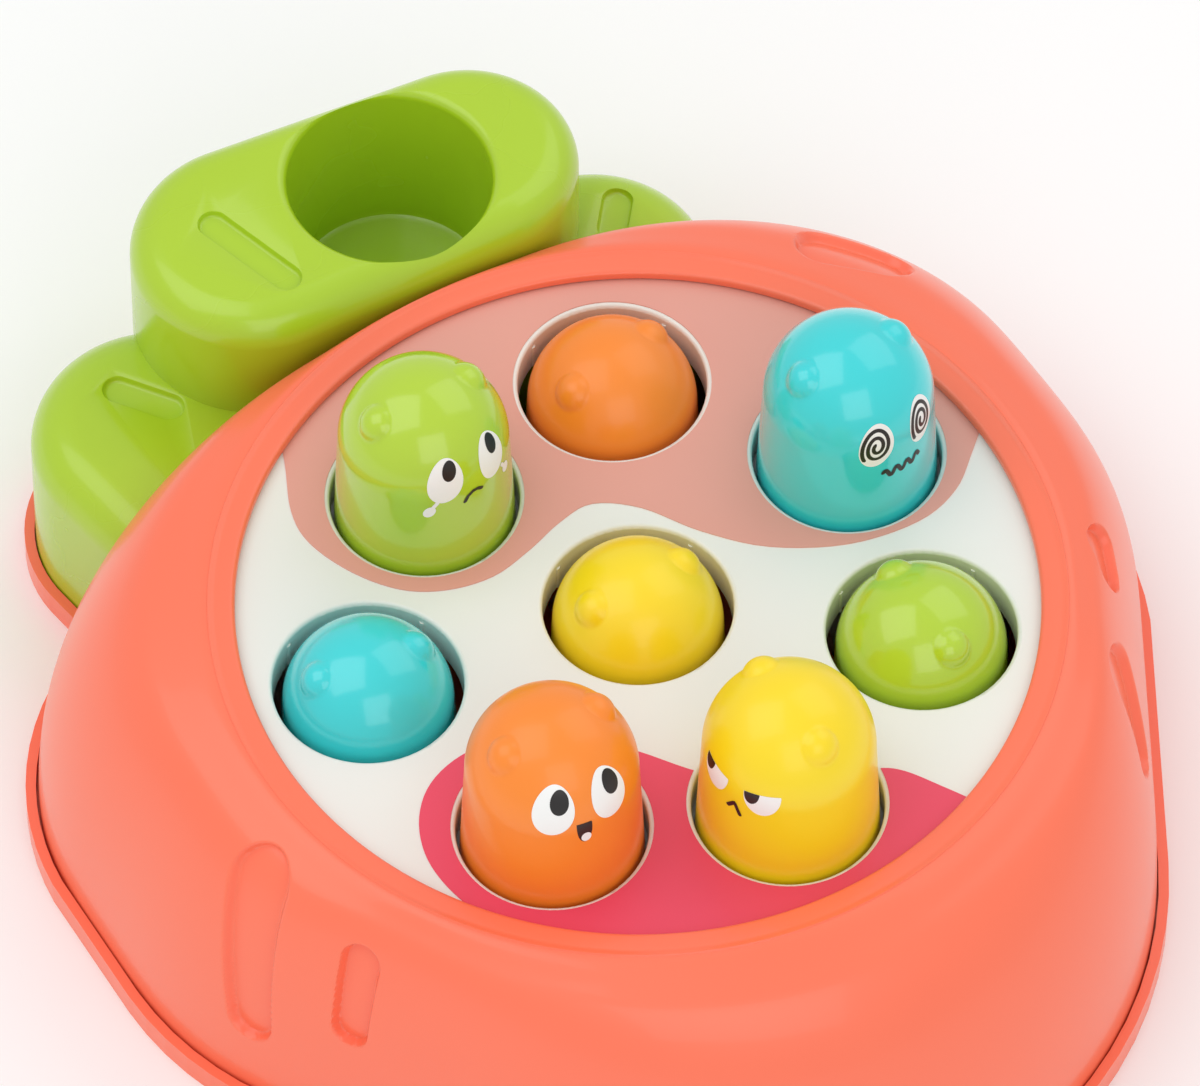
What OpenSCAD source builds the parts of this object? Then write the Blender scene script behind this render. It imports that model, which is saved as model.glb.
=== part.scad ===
// Table-top whack-a-mole game shaped like a carrot.
// Eight moles stand in a round white panel. They are linked in pairs by see-saw rockers
// under the panel, so pressing one mole makes its partner rise.
// Frame: +Z up, +Y toward the leaves, -Y toward the tip, origin on the ground under the
// middle mole. All sizes are in millimetres.

/* [Body] */
// Height of the panel's top above the ground
panel_z = 74; // [74:0.5:84]
// Height of the rim band above the panel
rim_rise = 3; // [2.8:0.1:5]
// Radius of the opening in the body shell
opening_r = 92; // [91.5:0.1:92.5]
// Width of the flat band around the opening
band_w = 6.5; // [6:0.1:7]
// Wall of the moulded shells
wall = 2.4; // [2:0.1:2.6]
// Thickness of the tray floor
floor_t = 3; // [2.4:0.1:3.2]
// Height of the tray's outer rim
tray_h = 7; // [6:0.5:9]
// Thickness of the tray's outer rim
tray_rim = 2.4; // [2:0.1:3]
// Gap between the tray rim and the shells that stand inside it
nest_gap = 0.3; // [0.2:0.05:0.5]
// Fullness of the body's shoulder, smaller is squarer
shoulder_power = 0.92; // [0.8:0.02:1.1]
// Depth of the carrot marks pressed into the body
dent_depth = 1.3; // [0.8:0.1:1.6]

/* [Leaves] */
// Height of the middle leaf's top
leaf_z = 85; // [84:0.5:92]
// Height of the left leaf's top
left_leaf_z = 52; // [46:0.5:58]
// Height of the right leaf's top
right_leaf_z = 53; // [46:0.5:58]
// Rounding of the side leaves' top edges
leaf_round = 11; // [6:0.5:13]
// Rounding of the middle leaf's top edge
middle_round = 9; // [6:0.5:12]
// Radius of the round hammer cup
cup_r = 24; // [20:0.5:24.5]
// Height of the cup's floor above the ground
cup_floor_z = 38; // [34:1:50]
// Rounding of the cup's mouth
cup_lip = 2.5; // [1:0.5:3]
// Gap between the leaf cover and the body shell
leaf_gap = 0.4; // [0.3:0.05:0.6]
// Half width of the slots pressed into the leaves
slot_r = 3.6; // [2.5:0.1:4.5]
// Depth of those slots
slot_depth = 1.2; // [0.8:0.1:1.5]

/* [Panel] */
// Thickness of the white panel
panel_t = 2.6; // [2:0.1:3]
// Gap between a mole's skirt and its hole
hole_gap = 0.8; // [0.7:0.1:1.2]
// Rounding of the hole's upper edge
hole_lip = 1; // [0.5:0.1:1]
// Wall of the sleeve under each hole
sleeve_t = 2.2; // [1.5:0.1:2.4]
// Gap between the panel's edge and the body shell
panel_gap = 0.7; // [0.5:0.1:1]
// Thickness of the printed films
film_t = 0.25; // [0.2:0.05:0.4]
// Width of the white ring left around each hole
film_gap = 1.1; // [1.1:0.1:2]

/* [Moles] */
// Height of a raised mole above the panel
mole_up = 43; // [40:0.5:45]
// Distance a mole moves up and down
travel = 30; // [26:0.5:30]
// Radius of the domed top
dome_r = 19.7; // [19:0.1:20.2]
// Radius of the skirt at its lower end
skirt_r = 21.1; // [20.8:0.1:21.3]
// Height of a mole from its lower edge to its top
cap_len = 53; // [52:0.5:53]
// Wall of a mole
cap_t = 2; // [1.6:0.1:2.4]
// Radius of an ear ball
ear_r = 5.2; // [4:0.1:6]
// How far an ear stands out of the dome
ear_rise = 2; // [1:0.1:3]
// Angle of the ears above the dome's middle
ear_lift = 49; // [40:1:55]

/* [Mechanism] */
// Reach of the stop disc under a mole beyond its hole
stop_reach = 0.8; // [0.6:0.1:1]
// Thickness of the stop disc
stop_t = 2.2; // [1.8:0.1:2.4]
// Radius of the plunger tube
tube_r = 5.4; // [5:0.1:5.8]
// Radius of the guide posts on the tray
post_r = 3.5; // [3:0.1:3.8]
// Gap between a guide post and the plunger tube
post_gap = 0.35; // [0.3:0.05:0.5]
// Height of the guide posts' tops above the ground
post_z = 50; // [46:1:54]
// Height of the rocker pivots above the ground
pivot_z = 26; // [26:0.5:27]
// Radius of the drive pins on the plungers
drive_r = 2; // [1.6:0.1:2.2]
// Play between a drive pin and its fork
fork_play = 0.75; // [0.7:0.05:0.9]
// Half height of a rocker bar
bar_h = 4.8; // [4.5:0.1:5]
// Thickness of a rocker bar
bar_t = 4; // [3:0.5:5]
// Gap between a rocker bar and the plunger tube
bar_gap = 1.2; // [0.8:0.1:2]
// Radius of the rocker's hub
hub_r = 4.8; // [4:0.1:5]
// Radius of the steel pivot pins
pin_r = 1.5; // [1.2:0.1:2]
// Gap around the pivot pin inside the rocker
pin_gap = 0.08; // [0.05:0.01:0.1]
// Gap around the pivot pin inside the stands
seat_gap = 0.04; // [0.02:0.01:0.06]
// Gap between a rocker and its stands
stand_gap = 0.4; // [0.3:0.1:0.8]
// Thickness of a stand
stand_t = 3.5; // [3:0.5:4]

/* [Screws] */
// Radius of the screw towers
tower_r = 4.5; // [4:0.1:5]
// Height of the screw seats above the ground
seat_z = 10; // [9:0.5:12]
// Radius of a screw shank
screw_r = 1.4; // [1.2:0.1:1.6]
// Radius of a screw head
head_r = 3; // [2.6:0.1:3.2]
// Height of a screw head
head_h = 2.2; // [1.8:0.1:2.6]
// Length of a screw under its head
screw_len = 13; // [10:0.5:15]
// Gap around the screw shank and head
screw_gap = 0.3; // [0.2:0.05:0.4]

/* [Hidden] */
$fn = 64;

coral = [1.0, 0.45, 0.33];
leaf_green = [0.66, 0.82, 0.16];
mole_green = [0.66, 0.80, 0.14];
mole_orange = [0.98, 0.50, 0.12];
mole_cyan = [0.16, 0.80, 0.82];
mole_yellow = [0.98, 0.84, 0.06];
panel_white = [0.93, 0.93, 0.91];
film_pink = [0.91, 0.62, 0.56];
film_crimson = [0.90, 0.24, 0.36];
inner_white = [0.86, 0.86, 0.84];
steel = [0.7, 0.7, 0.72];

rim_z = panel_z + rim_rise;
crease_r = opening_r + band_w;
shell_in = tray_rim + nest_gap;
panel_r = crease_r - wall - panel_gap;
hole_r = skirt_r + hole_gap;
stop_r = hole_r + stop_reach;
mole_down = mole_up - travel;
sleeve_z = panel_z + mole_up - cap_len + 0.4;
steps = 72;

// Mole places: x and y as shares of the opening's radius, face turn in degrees, and 1 for raised
// or 0 for lowered. Places 0 and 1, 2 and 3, 4 and 5, 6 and 7 share a rocker.
mole_places = [
    [0, -0.698913, -90, 1], [0, 0, 0, 0],
    [0.68913, 0.119565, 0, 1], [0.558696, -0.433696, -90, 0],
    [-0.279348, 0.56087, 0, 1], [0.304348, 0.61413, 11, 0],
    [-0.529348, -0.454348, 0, 1], [-0.691304, 0.151087, -10, 0]
];
moles = [for (m = mole_places) [opening_r * m[0], opening_r * m[1], m[2], m[3]]];

// Outlines are convex groups of circles, each given as x, y, radius.
body_discs = [
    [0, 30, 74], [66, 38, 66], [-66, 38, 66], [50, 8, 82.5], [-50, 8, 82.5], [0, -34, 105]
];
middle_leaf = [[-24, 131, 31.5], [31, 126, 29]];
left_leaf = [[-59, 118, 32], [-56, 96, 32]];
right_leaf = [[52, 104, 31.2], [44, 92, 31.2]];
cup_x = 11;
cup_y = 127.6;

// Pressed carrot marks: first point, last point, outward direction, groove radius, bulge.
marks = [
    [[-111.4, -17, 68.5], [-120.6, -26.6, 29], [-0.9, -0.33, 0.29], 15, 1.6],
    [[-101.4, -45.1, 63.6], [-106.1, -47.6, 43.7], [-0.83, -0.48, 0.28], 9, 0.5],
    [[90.2, 63.5, 73.8], [99.8, 54.3, 71.7], [0.46, 0.29, 0.84], 14, 0.2],
    [[101.3, -39.3, 69.6], [99.3, -45.2, 67.4], [0.76, -0.44, 0.48], 9, 0.1],
    [[87.5, -67.8, 65.4], [86, -81.5, 46.6], [0.81, -0.49, 0.31], 14, 0.5]
];

// Screw towers of the shell, the leaf cover and the panel.
shell_turns = [12, 168, -32, -148, -68, -112];
shell_tower_in = 10.4;
leaf_towers = [[-70, 116, left_leaf_z], [64, 109, right_leaf_z], [-30, 147, leaf_z]];
panel_turns = [-118, -65, -14, 35, 88, 141, 192];
panel_tower_in = 6;
panel_tower_r = opening_r - panel_tower_in;

// Edges of the two printed films in plan, as points along a soft line, in shares of the opening.
pink_edge = [
    [-0.4565, 1], [-0.5217, 0.837], [-0.587, 0.6957], [-0.5978, 0.587], [-0.5543, 0.4565],
    [-0.4783, 0.3478], [-0.3804, 0.2859], [-0.2609, 0.2609], [-0.1413, 0.2826], [-0.0326, 0.3152],
    [0.0652, 0.3207], [0.163, 0.2446], [0.25, 0.1087], [0.3696, -0.0217], [0.5435, -0.1196],
    [0.7283, -0.1522], [0.8587, -0.1196], [0.9565, -0.0435], [1.0652, 0.0543]
];
crimson_edge = [
    [-0.7826, -0.7174], [-0.8152, -0.5978], [-0.8424, -0.4674], [-0.837, -0.3587],
    [-0.7935, -0.2609], [-0.7174, -0.1902], [-0.6087, -0.1587], [-0.4783, -0.1739],
    [-0.3478, -0.25], [-0.2391, -0.3696], [-0.1304, -0.5163], [0, -0.6196], [0.1304, -0.6848],
    [0.2391, -0.7283], [0.2935, -0.7717], [0.3478, -0.8587], [0.3913, -0.9348], [0.4348, -1.0217]
];
film_over = 1.5;
film_rim = 1.4;

// Helpers for the outlines and the lofted shells.
function dir2(a) = [cos(a), sin(a)];
function reach(c, a) = c[0] * cos(a) + c[1] * sin(a) + c[2];
function best(cs, a, i = 0, top = 0) =
    i >= len(cs) ? cs[top]
    : best(cs, a, i + 1, reach(cs[i], a) > reach(cs[top], a) ? i : top);
function edge_at(cs, a, inset) =
    let (c = best(cs, a)) [c[0], c[1]] + (c[2] - inset) * dir2(a);
function outline(cs, inset) = [for (i = [0:steps - 1]) edge_at(cs, 360 * i / steps, inset)];
function soft_point(p, i, w) =
    let (n = len(p) - 1)
    let (a = p[max(0, i - 1)])
    let (b = p[i])
    let (c = p[min(n, i + 1)])
    let (d = p[min(n, i + 2)])
    0.5 * (2 * b + (c - a) * w + (2 * a - 5 * b + 4 * c - d) * w * w + (3 * b - a - 3 * c + d) * w * w * w);
function soft_line(p) = [for (i = [0:len(p) - 2]) for (k = [0:4]) soft_point(p, i, k / 5)];
function flat_ring(pts, z) = [for (p = pts) [p[0], p[1], z]];

// A point of the body's outer face. a is the outline angle, t runs from 0 at the crease
// of the rim to 90 at the lower edge.
function body_z(t) = floor_t + (rim_z - floor_t) * pow(cos(t), shoulder_power);
function body_xy(a, t, grow) =
    (1 - sin(t)) * (crease_r + grow) * dir2(a)
    + sin(t) * edge_at(body_discs, a, shell_in - grow);
function body_ring(t, grow, z) =
    [for (i = [0:steps - 1]) concat(body_xy(360 * i / steps, t, grow), [z])];
function round_ring(r, z) = [for (i = [0:steps - 1]) concat(r * dir2(360 * i / steps), [z])];
turns = [90, 82, 74, 66, 58, 50, 42, 34, 26, 18, 9, 0];
inner_scale = (rim_z - wall - floor_t) / (rim_z - floor_t);

// Skin a list of rings. A closed list makes a tube, an open one gets flat ends.
module skin(rings, closed) {
    n = len(rings[0]);
    m = len(rings);
    last = closed ? m - 1 : m - 2;
    sides = [
        for (k = [0:last])
        for (i = [0:n - 1])
        let (a = k * n + i)
        let (b = k * n + (i + 1) % n)
        let (c = ((k + 1) % m) * n + (i + 1) % n)
        let (d = ((k + 1) % m) * n + i)
        each [[a, d, c], [a, c, b]]
    ];
    ends = closed ? [] : [[for (i = [0:n - 1]) i], [for (i = [n - 1:-1:0]) (m - 1) * n + i]];
    polyhedron(points = [for (r = rings) for (p = r) p], faces = concat(sides, ends));
}

module body_solid(grow) {
    outer = [for (t = turns) body_ring(t, grow, body_z(t))];
    skin(outer, false);
}

module body_skin() {
    outer = [for (t = turns) body_ring(t, 0, body_z(t))];
    lip = [round_ring(opening_r, rim_z), round_ring(opening_r, rim_z - wall)];
    inner = [
        for (i = [len(turns) - 1:-1:0])
        body_ring(turns[i], -wall, floor_t + (body_z(turns[i]) - floor_t) * inner_scale)
    ];
    skin(concat(outer, lip, inner), true);
}

// A leaf: upright walls and a rounded top edge.
module leaf_solid(cs, top, rounding, inset) {
    r = rounding - inset;
    z = top - inset;
    low = [flat_ring(outline(cs, shell_in + inset), floor_t)];
    bend = [
        for (q = [0, 18, 36, 54, 72, 90])
        flat_ring(outline(cs, shell_in + inset + r * (1 - cos(q))), z - r + r * sin(q))
    ];
    skin(concat(low, bend), false);
}

// A slot with round ends between two plan points.
module slot(p, q, r, h) {
    v = q - p;
    l = norm(v);
    translate([p[0], p[1], 0])
    rotate([0, 0, atan2(v[1], v[0])]) {
        cylinder(r = r, h = h);
        translate([l, 0, 0]) cylinder(r = r, h = h);
        translate([0, -r, 0]) cube([l, 2 * r, h]);
    }
}

// A round-ended groove pressed into the body's face between the two points of a mark.
// The mark gives both points, the direction out of the body, the groove's radius and how far
// the face bulges out between the points.
module dent(mark) {
    h = rim_z / 77;
    n = mark[2] / norm(mark[2]);
    r = mark[3];
    lift = (r - dent_depth + mark[4]) * n;
    p = [mark[0][0], mark[0][1], mark[0][2] * h] + lift;
    q = [mark[1][0], mark[1][1], mark[1][2] * h] + lift;
    v = q - p;
    l = norm(v);
    low = [for (k = [0:8]) [r * sin(k * 11.25), -r * cos(k * 11.25)]];
    high = [for (k = [0:8]) [r * cos(k * 11.25), l + r * sin(k * 11.25)]];
    translate(p)
    rotate([0, acos(v[2] / l), atan2(v[1], v[0])])
    rotate_extrude()
    polygon(concat(low, high));
}

function shell_towers() = [for (a = shell_turns) edge_at(body_discs, a, shell_tower_in)];
function panel_towers() = [for (a = panel_turns) panel_tower_r * dir2(a)];
function all_towers() =
    concat(shell_towers(), panel_towers(), [for (p = leaf_towers) [p[0], p[1]]]);

// Bore for a screw's thread, open at the lower end of a tower.
module thread_bore() {
    translate([0, 0, seat_z - 1])
    cylinder(r = screw_r + 0.05, h = screw_len - 1);
}

// Middle, direction and half length of a rocker, from its pair of moles.
function pair_mid(i) = ([moles[i][0], moles[i][1]] + [moles[i + 1][0], moles[i + 1][1]]) / 2;
function pair_vec(i) = [moles[i + 1][0] - moles[i][0], moles[i + 1][1] - moles[i][1]];
function pair_half(i) = norm(pair_vec(i)) / 2;
function pair_turn(i) = atan2(pair_vec(i)[1], pair_vec(i)[0]);
function pair_tilt(i) = 1.02 * atan(travel / 2 / pair_half(i));
bar_in = tube_r + bar_gap;
bar_out = bar_in + bar_t;

module place_pair(i) {
    translate([pair_mid(i)[0], pair_mid(i)[1], pivot_z])
    rotate([0, 0, pair_turn(i)])
    children();
}

// Lower tray: floor, outer rim, guide posts, rocker stands and screw seats.
module base_tray() {
    color(coral)
    difference() {
        union() {
            difference() {
                linear_extrude(height = tray_h) tray_plan(0);
                translate([0, 0, floor_t]) linear_extrude(height = tray_h) tray_plan(tray_rim);
            }
            screw_seats(tower_r + 0.2, seat_z, 0);
            tray_posts();
            tray_stands();
        }
        screw_seats(screw_r + screw_gap, seat_z + 1, -1);
        screw_seats(head_r + screw_gap, seat_z - floor_t + 1, -1);
        for (i = [0, 2, 4, 6])
            place_pair(i)
            rotate([90, 0, 0])
            cylinder(r = pin_r + seat_gap, h = 2 * (bar_out + stand_gap + stand_t) + 2, center = true);
    }
}

module tray_plan(inset) {
    polygon(outline(body_discs, inset));
    polygon(outline(middle_leaf, inset));
    polygon(outline(left_leaf, inset));
    polygon(outline(right_leaf, inset));
}

module screw_seats(r, h, z) {
    for (p = all_towers())
        translate([p[0], p[1], z]) cylinder(r = r, h = h);
}

module tray_posts() {
    for (m = moles)
        translate([m[0], m[1], 0]) cylinder(r = post_r, h = post_z);
}

module tray_stands() {
    for (i = [0, 2, 4, 6])
        place_pair(i)
        for (s = [0, 1])
            mirror([0, s, 0])
            translate([0, bar_out + stand_gap, 0]) {
                translate([-hub_r, 0, -pivot_z]) cube([2 * hub_r, stand_t, pivot_z]);
                rotate([-90, 0, 0]) cylinder(r = hub_r, h = stand_t);
            }
}

// Upper body: puffy carrot shell with a flat rim band around the panel opening.
module body_shell() {
    color(coral)
    difference() {
        union() {
            body_skin();
            for (p = shell_towers())
                translate([p[0], p[1], seat_z]) cylinder(r = tower_r, h = 24);
        }
        for (p = shell_towers()) translate([p[0], p[1], 0]) thread_bore();
        for (mark = marks) dent(mark);
    }
}

// Leaf cover: three leaves in one moulding, with a cup for the hammer in the middle leaf.
module leaf_cover() {
    color(leaf_green)
    difference() {
        union() {
            difference() {
                union() {
                    leaf_solid(middle_leaf, leaf_z, middle_round, 0);
                    leaf_solid(left_leaf, left_leaf_z, leaf_round, 0);
                    leaf_solid(right_leaf, right_leaf_z, leaf_round, 0);
                }
                translate([0, 0, -0.01]) {
                    leaf_solid(middle_leaf, leaf_z, middle_round, wall);
                    leaf_solid(left_leaf, left_leaf_z, leaf_round, wall);
                    leaf_solid(right_leaf, right_leaf_z, leaf_round, wall);
                }
                body_solid(leaf_gap);
            }
            translate([cup_x, cup_y, cup_floor_z - wall])
            cylinder(r = cup_r + wall, h = leaf_z - cup_floor_z + wall - 1.2);
            for (p = leaf_towers)
                translate([p[0], p[1], seat_z])
                cylinder(r = tower_r, h = p[2] - wall - seat_z + 0.5);
        }
        translate([cup_x, cup_y, cup_floor_z]) cylinder(r = cup_r, h = leaf_z);
        translate([cup_x, cup_y, leaf_z]) edge_round(cup_r, cup_lip);
        for (p = leaf_towers) translate([p[0], p[1], 0]) thread_bore();
        translate([0, 0, leaf_z - slot_depth]) slot([-31, 137], [-24.5, 115], slot_r, 10);
        translate([0, 0, left_leaf_z - slot_depth]) slot([-62.5, 129], [-55, 118.5], slot_r, 10);
        translate([0, 0, right_leaf_z - slot_depth]) slot([65, 114], [60, 108], slot_r, 10);
    }
}

// Ring that rounds the upper edge of a bore of radius r at z = 0.
module edge_round(r, e) {
    rotate_extrude()
    difference() {
        translate([r - 1, -e]) square([e + 1, e + 1]);
        translate([r + e, -e]) circle(r = e);
    }
}

// White panel: eight sleeved holes and seven legs that stand on the tray's screw seats.
module face_panel() {
    color(panel_white)
    difference() {
        union() {
            translate([0, 0, panel_z - panel_t]) cylinder(r = panel_r, h = panel_t, $fn = 128);
            for (m = moles)
                translate([m[0], m[1], sleeve_z])
                cylinder(r = hole_r + sleeve_t, h = panel_z - panel_t - sleeve_z + 0.5);
            for (p = panel_towers())
                translate([p[0], p[1], seat_z])
                cylinder(r = tower_r, h = panel_z - panel_t - seat_z + 0.5);
        }
        for (m = moles)
            translate([m[0], m[1], 0])
            difference() {
                cylinder(r = hole_r, h = panel_z + 1);
                for (a = [25, 115, 205, 295])
                    rotate([0, 0, a])
                    translate([hole_r + 0.45, 0, sleeve_z - 1])
                    cylinder(r = 0.8, h = panel_z - sleeve_z - 1.5);
            }
        for (m = moles) translate([m[0], m[1], panel_z]) edge_round(hole_r, hole_lip);
        for (p = panel_towers()) translate([p[0], p[1], 0]) thread_bore();
    }
}

// Plan of the printed film beyond the wavy line, on the leaf side of the panel.
module pink_plan() {
    intersection() {
        circle(r = opening_r + film_over, $fn = 128);
        union() {
            polygon(opening_r * concat(soft_line(pink_edge), [[1.4, 0.06], [1.4, 1.4], [-0.48, 1.4]]));
            film_rims([2, 4, 5]);
        }
    }
}

// Plan of the printed film on the tip side of the panel.
module crimson_plan() {
    intersection() {
        circle(r = opening_r + film_over, $fn = 128);
        union() {
            polygon(opening_r * concat(soft_line(crimson_edge), [[0.33, -1.4], [-0.98, -1.4], [-0.98, -0.76]]));
            film_rims([6]);
        }
    }
}

// A rim of film all round a hole.
module film_rims(places) {
    for (i = places)
        translate([moles[i][0], moles[i][1]]) circle(r = hole_r + film_gap + film_rim);
}

module film(turned) {
    translate([0, 0, panel_z])
    linear_extrude(height = film_t)
    difference() {
        if (turned) pink_plan();
        else crimson_plan();
        for (m = moles) translate([m[0], m[1]]) circle(r = hole_r + film_gap);
    }
}

module pink_film() {
    color(film_pink) film(true);
}

module crimson_film() {
    color(film_crimson) film(false);
}

// Mole: domed cap with a tapered skirt and two ear balls, hollow and open below.
module mole_cap(i) {
    m = moles[i];
    s = cap_len - dome_r;
    translate([m[0], m[1], panel_z + (m[3] == 1 ? mole_up : mole_down) - cap_len])
    rotate([0, 0, m[2]])
    difference() {
        union() {
            cylinder(r1 = skirt_r, r2 = dome_r, h = s);
            translate([0, 0, s]) sphere(r = dome_r);
            for (k = [-1, 1])
                translate([0, 0, s])
                rotate([0, k * (90 - ear_lift), 0])
                translate([0, 0, dome_r + ear_rise - ear_r])
                sphere(r = ear_r);
        }
        translate([0, 0, -1]) cylinder(r = skirt_r - cap_t - 0.4, h = 9);
        cylinder(r1 = skirt_r - cap_t - 0.4, r2 = dome_r - cap_t, h = s);
        translate([0, 0, s]) sphere(r = dome_r - cap_t);
    }
}

// Plunger: stop disc under the cap, plug ring inside it, guide tube and two drive pins.
module plunger(i) {
    m = moles[i];
    p = i % 2 == 0 ? i : i - 1;
    low = panel_z + (m[3] == 1 ? mole_up : mole_down) - cap_len;
    drive = pivot_z + (m[3] == 1 ? travel / 2 : -travel / 2);
    ring_r = skirt_r - cap_t - 0.8;
    color(inner_white)
    translate([m[0], m[1], 0])
    difference() {
        union() {
            translate([0, 0, low - stop_t]) cylinder(r = stop_r, h = stop_t);
            translate([0, 0, low - 0.5]) cylinder(r = ring_r, h = 6.5);
            translate([0, 0, drive - drive_r - 2]) cylinder(r = tube_r, h = low - drive + drive_r + 2);
            translate([0, 0, drive])
            rotate([90, 0, pair_turn(p)])
            cylinder(r = drive_r, h = 2 * bar_out + 1.2, center = true);
        }
        translate([0, 0, low]) cylinder(r = ring_r - 1.6, h = 10);
        translate([0, 0, drive - 20]) cylinder(r = post_r + post_gap, h = 100);
    }
}

// Rocker: two bars with forked ends, joined by the hub.
module rocker(i) {
    h = pair_half(i);
    far = h / cos(pair_tilt(i)) + 4;
    near = h - drive_r - 1.6;
    f = drive_r + fork_play;
    color(inner_white)
    place_pair(i)
    rotate([0, pair_tilt(i), 0])
    difference() {
        union() {
            for (s = [0, 1])
                mirror([0, s, 0])
                translate([-far, bar_in, -bar_h]) cube([2 * far, bar_t, 2 * bar_h]);
            rotate([90, 0, 0]) cylinder(r = hub_r, h = 2 * bar_in + 1, center = true);
        }
        for (s = [0, 1])
            mirror([s, 0, 0])
            translate([near, 0, 0]) {
                rotate([90, 0, 0]) cylinder(r = f, h = 4 * bar_out, center = true);
                translate([0, -2 * bar_out, -f]) cube([far, 4 * bar_out, 2 * f]);
            }
        rotate([90, 0, 0]) cylinder(r = pin_r + pin_gap, h = 4 * bar_out, center = true);
    }
}

// Steel pivot pin with a flat head outside one stand.
module pivot_pin(i) {
    e = bar_out + stand_gap + stand_t;
    color(steel)
    place_pair(i)
    rotate([90, 0, 0]) {
        translate([0, 0, -e - 0.6]) cylinder(r = pin_r, h = 2 * e + 0.6);
        translate([0, 0, e]) cylinder(r = pin_r + 1.1, h = 1);
    }
}

// Screws that hold the shells and the panel to the tray, put in from below.
module case_screws() {
    color(steel)
    for (p = all_towers())
        translate([p[0], p[1], seat_z - floor_t])
        difference() {
            union() {
                translate([0, 0, -head_h]) cylinder(r = head_r, h = head_h);
                cylinder(r = screw_r, h = screw_len);
            }
            translate([-0.4, -2, -head_h - 1]) cube([0.8, 4, 2]);
            translate([-2, -0.4, -head_h - 1]) cube([4, 0.8, 2]);
        }
}

module cap_yellow_front() color(mole_yellow) mole_cap(0);
module cap_yellow_centre() color(mole_yellow) mole_cap(1);
module cap_cyan_right() color(mole_cyan) mole_cap(2);
module cap_green_right() color(mole_green) mole_cap(3);
module cap_green_back() color(mole_green) mole_cap(4);
module cap_orange_back() color(mole_orange) mole_cap(5);
module cap_orange_left() color(mole_orange) mole_cap(6);
module cap_cyan_left() color(mole_cyan) mole_cap(7);
module plunger_yellow_front() plunger(0);
module plunger_yellow_centre() plunger(1);
module plunger_cyan_right() plunger(2);
module plunger_green_right() plunger(3);
module plunger_green_back() plunger(4);
module plunger_orange_back() plunger(5);
module plunger_orange_left() plunger(6);
module plunger_cyan_left() plunger(7);
module rocker_front() rocker(0);
module rocker_right() rocker(2);
module rocker_back() rocker(4);
module rocker_left() rocker(6);
module pin_front() pivot_pin(0);
module pin_right() pivot_pin(2);
module pin_back() pivot_pin(4);
module pin_left() pivot_pin(6);

base_tray();
body_shell();
leaf_cover();
face_panel();
pink_film();
crimson_film();
cap_yellow_front();
cap_yellow_centre();
cap_cyan_right();
cap_green_right();
cap_green_back();
cap_orange_back();
cap_orange_left();
cap_cyan_left();
plunger_yellow_front();
plunger_yellow_centre();
plunger_cyan_right();
plunger_green_right();
plunger_green_back();
plunger_orange_back();
plunger_orange_left();
plunger_cyan_left();
rocker_front();
rocker_right();
rocker_back();
rocker_left();
pin_front();
pin_right();
pin_back();
pin_left();
case_screws();
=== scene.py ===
"""Carrot-shaped whack-a-mole toy: the visible pieces, their finishes and the photograph's view."""

import math

import bpy
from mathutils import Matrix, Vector


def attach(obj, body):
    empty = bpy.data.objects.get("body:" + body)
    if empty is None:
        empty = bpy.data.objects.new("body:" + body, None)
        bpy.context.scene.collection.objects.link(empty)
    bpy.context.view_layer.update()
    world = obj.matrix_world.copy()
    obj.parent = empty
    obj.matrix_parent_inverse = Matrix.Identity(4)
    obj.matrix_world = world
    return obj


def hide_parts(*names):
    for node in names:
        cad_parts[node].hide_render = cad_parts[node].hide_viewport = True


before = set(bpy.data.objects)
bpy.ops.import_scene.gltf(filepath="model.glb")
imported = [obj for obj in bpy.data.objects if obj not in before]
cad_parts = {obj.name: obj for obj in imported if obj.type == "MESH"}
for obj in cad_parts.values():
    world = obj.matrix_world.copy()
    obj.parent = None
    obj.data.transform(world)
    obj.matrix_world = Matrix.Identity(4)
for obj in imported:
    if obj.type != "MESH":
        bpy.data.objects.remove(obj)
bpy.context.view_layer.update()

bl_info = {
    "name": "Whack-a-mole toy",
    "version": (1, 0, 0),
    "blender": (4, 5, 0),
    "location": "View3D > Sidebar > Toy",
    "description": "Builds the visible pieces of a carrot-shaped whack-a-mole toy",
    "category": "Object",
}

# Lengths are millimetres, apart from the length settings and the stage, which are in metres.
MM = 0.001
TAU = 2 * math.pi

# Outlines in plan, as circles (x, y, radius) whose outer hull is the flange of the tray.
BODY_DISCS = [(0, 30, 74), (66, 38, 66), (-66, 38, 66), (50, 8, 82.5), (-50, 8, 82.5), (0, -34, 105)]
MIDDLE_LEAF = [(-24, 131, 31.5), (31, 126, 29)]
LEFT_LEAF = [(-59, 118, 32), (-56, 96, 32)]
RIGHT_LEAF = [(52, 104, 31.2), (44, 92, 31.2)]
OUTLINE_STEPS = 72
DISC_TOLERANCE = 0.4
SHELL_INSET = 2.7
FOOT_Z = 3.0
PANEL_Z = 74.0

# Body: how often its outline and its normals are evened out, and the curve from crease to foot.
EDGE_PASSES = 44
TURN_PASSES = 300
FOOT_LIP = 2.4
RIM_Z = 77.0
CREASE_R = 98.5
PUFF = 0.92
# Soft valley outside the crease, in degrees of that curve.
NECK_START = 4.0
NECK_MIDDLE = 12.0
NECK_SPREAD = 8.0
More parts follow.
